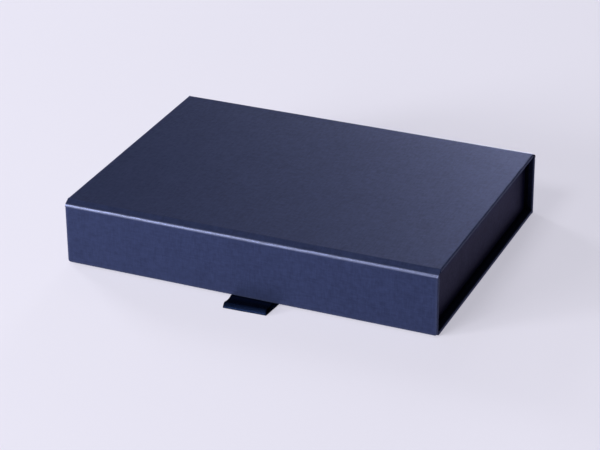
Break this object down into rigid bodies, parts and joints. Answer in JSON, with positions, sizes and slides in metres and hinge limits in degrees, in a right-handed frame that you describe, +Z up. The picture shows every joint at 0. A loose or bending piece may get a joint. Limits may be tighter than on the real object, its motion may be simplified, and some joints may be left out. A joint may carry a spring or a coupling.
{
  "type": "magnetic flap gift box",
  "caption": "Shallow rigid gift box: a tray glued in a paper-covered board case, whose hinged lid and front flap close on hidden magnets, with a folded ribbon pull tab under the flap.",
  "frame": {"origin": "centre of the closed case's underside, in the plane that it stands on; the pull tab isn't counted", "axes": "+X along the long side to the right, +Y from the flap at the front to the spine at the back, +Z up to the lid"},
  "size_m": [0.225, 0.1785, 0.04],
  "materials": {
    "cover_paper": "navy pearl paper with a fine linen grain, soft sheen",
    "lining_paper": "matt blue-black uncoated paper",
    "tray_paper": "matt blue-black wrap paper",
    "greyboard": "raw grey chipboard",
    "stay_tape": "gummed kraft tape",
    "ribbon": "woven satin ribbon, near-black navy",
    "magnet": "nickel-plated",
    "steel": "zinc-plated"
  },
  "bodies": {
    "root": {"base_board": "greyboard", "base_cover_paper": "cover_paper", "spine_board": "greyboard", "spine_cover_paper": "cover_paper", "spine_lining": "lining_paper", "back_hinge_paper": "cover_paper", "tray_floor_board": "greyboard", "tray_front_board": "greyboard", "tray_back_board": "greyboard", "tray_left_board": "greyboard", "tray_right_board": "greyboard", "tray_corner_stays": "stay_tape", "tray_wrap_paper": "tray_paper", "tray_floor_lining": "tray_paper", "steel_disc_left": "steel", "steel_disc_right": "steel"},
    "lid": {"lid_board": "greyboard", "lid_cover_paper": "cover_paper", "lid_lining": "lining_paper", "front_hinge_paper": "cover_paper"},
    "front_flap": {"flap_board": "greyboard", "flap_cover_paper": "cover_paper", "flap_lining": "lining_paper", "magnet_left": "magnet", "magnet_right": "magnet", "ribbon_tail": "ribbon"},
    "pull_tab": {"ribbon_loop": "ribbon"}
  },
  "joints": [
    {"name": "lid_hinge", "type": "hinge", "parent": "root", "child": "lid", "pos_m": [0, 0.08157, 0.03907], "axis": [-1, 0, 0], "range_deg": [0, 180], "deforming": ["back_hinge_paper"]},
    {"name": "flap_hinge", "type": "hinge", "parent": "lid", "child": "front_flap", "pos_m": [0, -0.08157, 0.03907], "axis": [-1, 0, 0], "range_deg": [0, 90], "deforming": ["front_hinge_paper"]},
    {"name": "tab_hinge", "type": "hinge", "parent": "front_flap", "child": "pull_tab", "pos_m": [0.005, -0.0829, 0.00077], "axis": [-1, 0, 0], "range_deg": [0, 65], "deforming": ["ribbon_tail"]}
  ]
}
